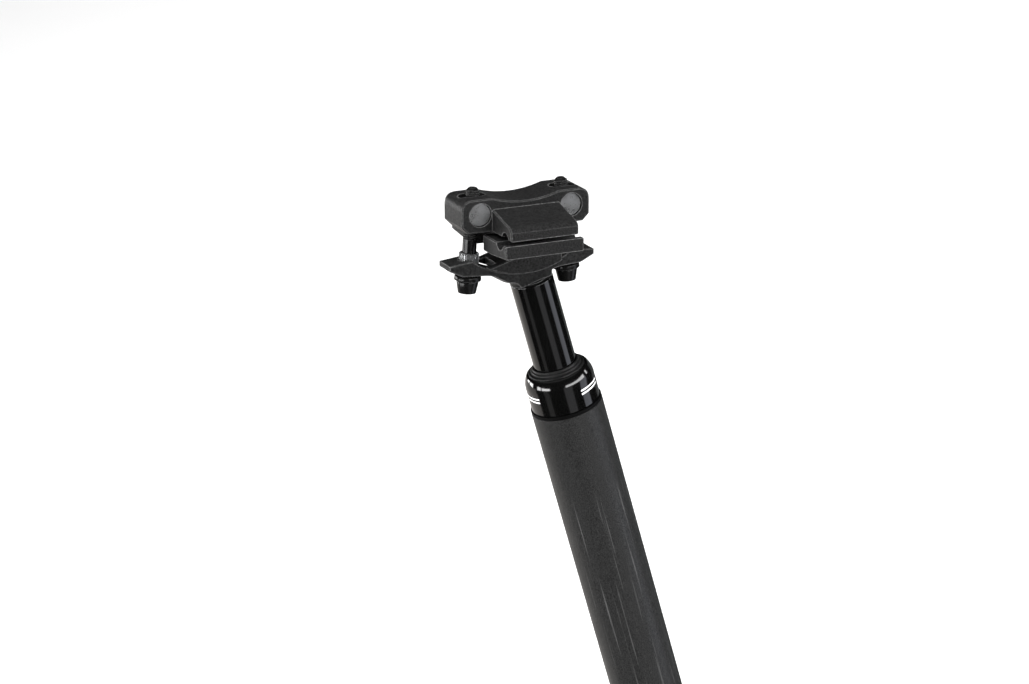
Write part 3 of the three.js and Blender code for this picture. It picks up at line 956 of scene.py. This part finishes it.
def studio_world():
    """Upright panels up to the horizon, a bright row above it, the dark, and a grey zenith.

    Panels and row are given by azimuth, in degrees. The camera sees plain pale grey instead."""
    panels = (
        (-174, -156, (0.17, 0.17, 0.17)),
        (-106, -78, (0.3, 0.3, 0.31)),
        (-48, -20, (0.8, 0.83, 0.92)),
        (20, 68, (0.1, 0.105, 0.105)),
        (72, 158, (0.45, 0.43, 0.41)),
    )
    row = (
        (-178, -150, (1, 1, 1)),
        (-98, -24, (0.7, 0.7, 0.7)),
        (-11, -5, (0.7, 0.7, 0.7)),
        (112, 124, (1, 1, 1)),
        (129, 145, (1, 1, 1)),
        (165, 178, (1, 1, 1)),
    )
    world = bpy.data.worlds.new("studio")
    bpy.context.scene.world = world
    world.use_nodes = True
    tree = world.node_tree
    background = tree.nodes["Background"]
    place = tree.nodes.new("ShaderNodeTexCoord")
    around = tree.nodes.new("ShaderNodeTexGradient")
    around.gradient_type = "RADIAL"
    tree.links.new(place.outputs["Generated"], around.inputs["Vector"])
    split = tree.nodes.new("ShaderNodeSeparateXYZ")
    tree.links.new(place.outputs["Generated"], split.inputs["Vector"])
    azimuth = around.outputs["Fac"]
    # The rise is the sine of a direction's elevation.
    rise = split.outputs["Z"]
    above_horizon = remap(tree, rise, 0, 0.02, 0, 1)
    above_row = remap(tree, rise, 0.18, 0.21, 0, 1)
    near_zenith = remap(tree, rise, 0.6, 0.95, 0, 1)
    panel_light = strong(tree, by_azimuth(tree, azimuth, panels), 2)
    row_light = strong(tree, by_azimuth(tree, azimuth, row), 16)
    lit = mixed(tree, above_horizon, panel_light, row_light)
    lit = mixed(tree, above_row, lit, grey(0))
    lit = mixed(tree, near_zenith, lit, grey(0.5))
    # A faint glow keeps every direction from being quite black.
    glow = tree.nodes.new("ShaderNodeVectorMath")
    glow.operation = "ADD"
    tree.links.new(lit, glow.inputs[0])
    glow.inputs[1].default_value = grey(0.01)
    rays = tree.nodes.new("ShaderNodeLightPath")
    seen = mixed(tree, rays.outputs["Is Camera Ray"], glow.outputs["Vector"], grey(0.95))
    tree.links.new(seen, background.inputs["Color"])


def softbox(name, azimuth, elevation, distance, size, watts):
    """Area light aimed at the collar's top. No piece mirrors it."""
    lamp = bpy.data.lights.new(name, "AREA")
    lamp.shape = "RECTANGLE"
    lamp.size, lamp.size_y = size
    lamp.energy = watts
    light = bpy.data.objects.new(name, lamp)
    bpy.context.scene.collection.objects.link(light)
    turn = math.radians(azimuth)
    rise = math.radians(elevation)
    away = Vector(
        (math.cos(turn) * math.cos(rise), math.sin(turn) * math.cos(rise), math.sin(rise))
    )
    light.location = Vector((0, 0, collar_high.z)) + distance * away
    light.rotation_euler = away.to_track_quat("Z", "Y").to_euler()
    light.visible_glossy = False


def camera():
    """Long lens from the right-hand rear side, a little above, rolled so that the post leans."""
    azimuth = math.radians(-19)
    elevation = math.radians(23.33)
    roll = math.radians(-16.09)
    distance = 1.3
    aim = Vector((-9.4, 16.6, 8.7)) * MM + Vector((0, 0, wiper_high.z))
    back = Vector(
        (
            math.sin(azimuth) * math.cos(elevation),
            -math.cos(azimuth) * math.cos(elevation),
            math.sin(elevation),
        )
    )
    level = Vector((math.cos(azimuth), math.sin(azimuth), 0))
    upright = back.cross(level)
    right = level * math.cos(roll) + upright * math.sin(roll)
    up = back.cross(right)
    data = bpy.data.cameras.new("camera")
    data.lens = 104.96
    data.sensor_width = 36
    data.clip_start = 0.05
    data.dof.use_dof = False
    view = bpy.data.objects.new("camera", data)
    bpy.context.scene.collection.objects.link(view)
    turn = Matrix((right, up, back)).transposed().to_4x4()
    view.matrix_world = Matrix.Translation(aim + distance * back) @ turn
    bpy.context.scene.camera = view


pale_floor()
studio_world()
softbox("overhead", azimuth=-90, elevation=80, distance=2.6, size=(2.6, 2.6), watts=110)
softbox("left_box", azimuth=165, elevation=32, distance=1.6, size=(0.5, 0.9), watts=14)
softbox("right_box", azimuth=-55, elevation=32, distance=1.6, size=(0.4, 0.9), watts=12)
camera()
bpy.context.scene.view_settings.view_transform = "Standard"
